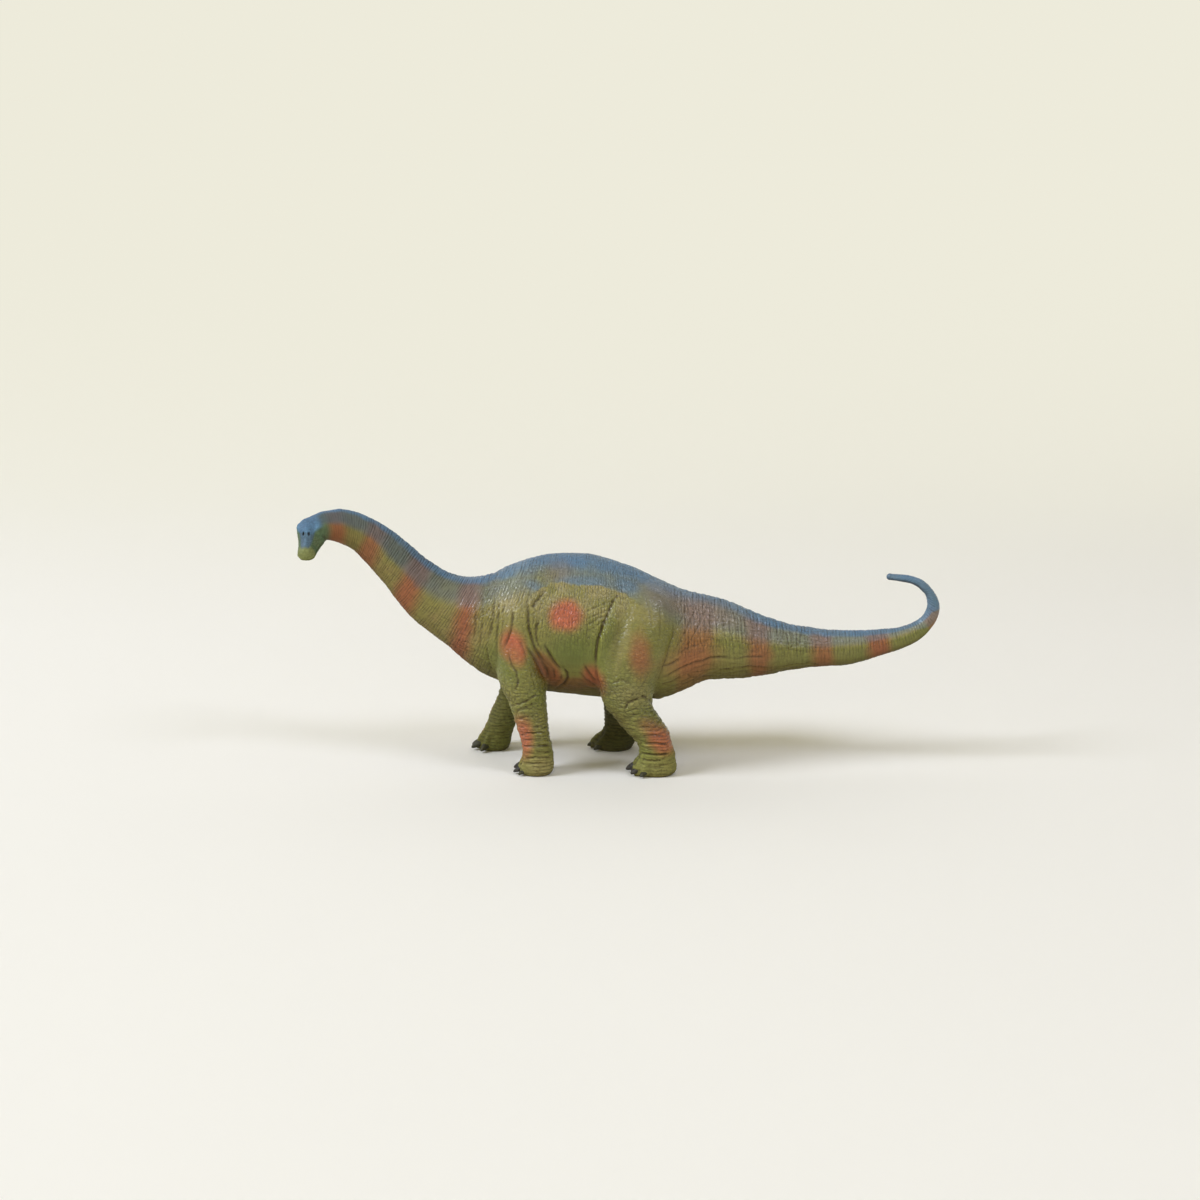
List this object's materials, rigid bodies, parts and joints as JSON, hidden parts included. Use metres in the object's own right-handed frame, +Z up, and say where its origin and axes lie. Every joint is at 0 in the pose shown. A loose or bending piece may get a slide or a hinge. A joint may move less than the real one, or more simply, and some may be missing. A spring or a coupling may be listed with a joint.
{
  "type": "long-necked dinosaur figure",
  "caption": "Rigid moulded toy figure of a walking long-necked dinosaur with a turned head and a curled tail, in plug-together mouldings.",
  "frame": {"origin": "on the floor, under the middle of the figure's box", "axes": "+X from the head to the tail, +Y to the animal's right, +Z up from the soles"},
  "size_m": [0.3278, 0.066, 0.1345],
  "materials": {
    "head_paint": "satin airbrushed paint, blue over green",
    "neck_paint": "satin airbrushed paint, green with blue above and orange-red patches",
    "torso_paint": "satin airbrushed paint, olive green with a blue back and a dark wash in the creases",
    "tail_paint": "satin airbrushed paint, olive green with a blue back and orange-red bands",
    "leg_paint": "satin airbrushed paint, olive green with orange-red patches and dark claws"
  },
  "bodies": {
    "root": {"head": "head_paint", "neck": "neck_paint", "torso_left": "torso_paint", "torso_right": "torso_paint", "tail": "tail_paint", "left_fore_leg": "leg_paint", "right_fore_leg": "leg_paint", "left_hind_leg": "leg_paint", "right_hind_leg": "leg_paint"}
  },
  "joints": []
}
